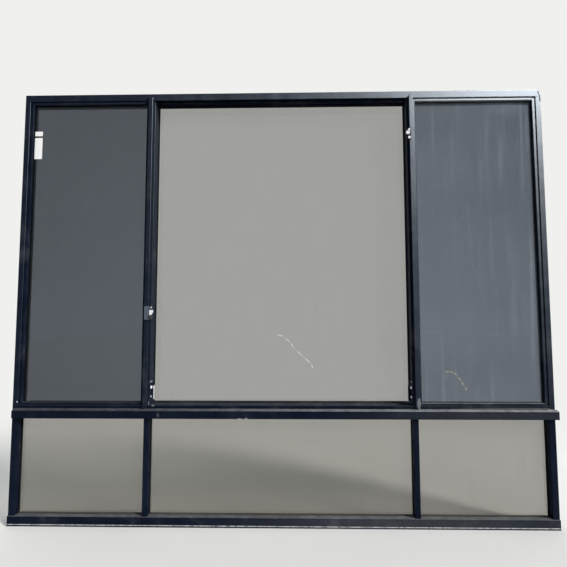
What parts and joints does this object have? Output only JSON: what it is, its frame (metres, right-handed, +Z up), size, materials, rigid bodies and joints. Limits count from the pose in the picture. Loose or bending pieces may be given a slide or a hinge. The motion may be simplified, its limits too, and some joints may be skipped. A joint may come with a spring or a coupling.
{
  "type": "horizontal sliding window",
  "caption": "Wide aluminium window: sliding sashes either side of a fixed pane, insect screens behind them, and fixed low lights under a coupling transom.",
  "frame": {"origin": "on the flat underside of the base sill, midway along it, in the plane of the frame's front lips", "axes": "+X along the window, +Y from the room side to the outside, +Z up"},
  "size_m": [2.418, 0.122, 1.965],
  "materials": {
    "frame": "satin dark navy coat, worn at the edges",
    "glass": "clear float glass, dusty",
    "gasket": "matt black glazing channel",
    "screen_mesh": "dark woven insect mesh",
    "screen_frame": "satin dark navy coat",
    "roller": "pale nylon",
    "bright_hardware": "dull bright metal"
  },
  "bodies": {
    "root": {"base_sill": "frame", "centre_gasket": "gasket", "centre_glass": "glass", "head": "frame", "left_foot_bracket": "frame", "left_interlock": "frame", "left_latch_lever": "bright_hardware", "left_latch_plate": "bright_hardware", "left_sash_bottom_rail": "frame", "left_sash_gasket": "gasket", "left_sash_glass": "glass", "left_sash_meeting_stile": "frame", "left_sash_outer_stile": "frame", "left_sash_rollers": "roller", "left_sash_top_rail": "frame", "left_screen_mesh": "screen_mesh", "left_screen_rails": "screen_frame", "left_screen_stiles": "screen_frame", "low_centre_gasket": "gasket", "low_centre_glass": "glass", "low_left_gasket": "gasket", "low_left_glass": "glass", "low_left_jamb": "frame", "low_left_mullion": "frame", "low_right_gasket": "gasket", "low_right_glass": "glass", "low_right_jamb": "frame", "low_right_mullion": "frame", "right_catch": "bright_hardware", "right_foot_bracket": "frame", "right_interlock": "frame", "right_sash_bottom_rail": "frame", "right_sash_gasket": "gasket", "right_sash_glass": "glass", "right_sash_meeting_stile": "frame", "right_sash_outer_stile": "frame", "right_sash_rollers": "roller", "right_sash_top_rail": "frame", "right_screen_mesh": "screen_mesh", "right_screen_rails": "screen_frame", "right_screen_stiles": "screen_frame", "transom": "frame", "upper_left_jamb": "frame", "upper_right_jamb": "frame", "upper_sill": "frame"}
  },
  "joints": []
}
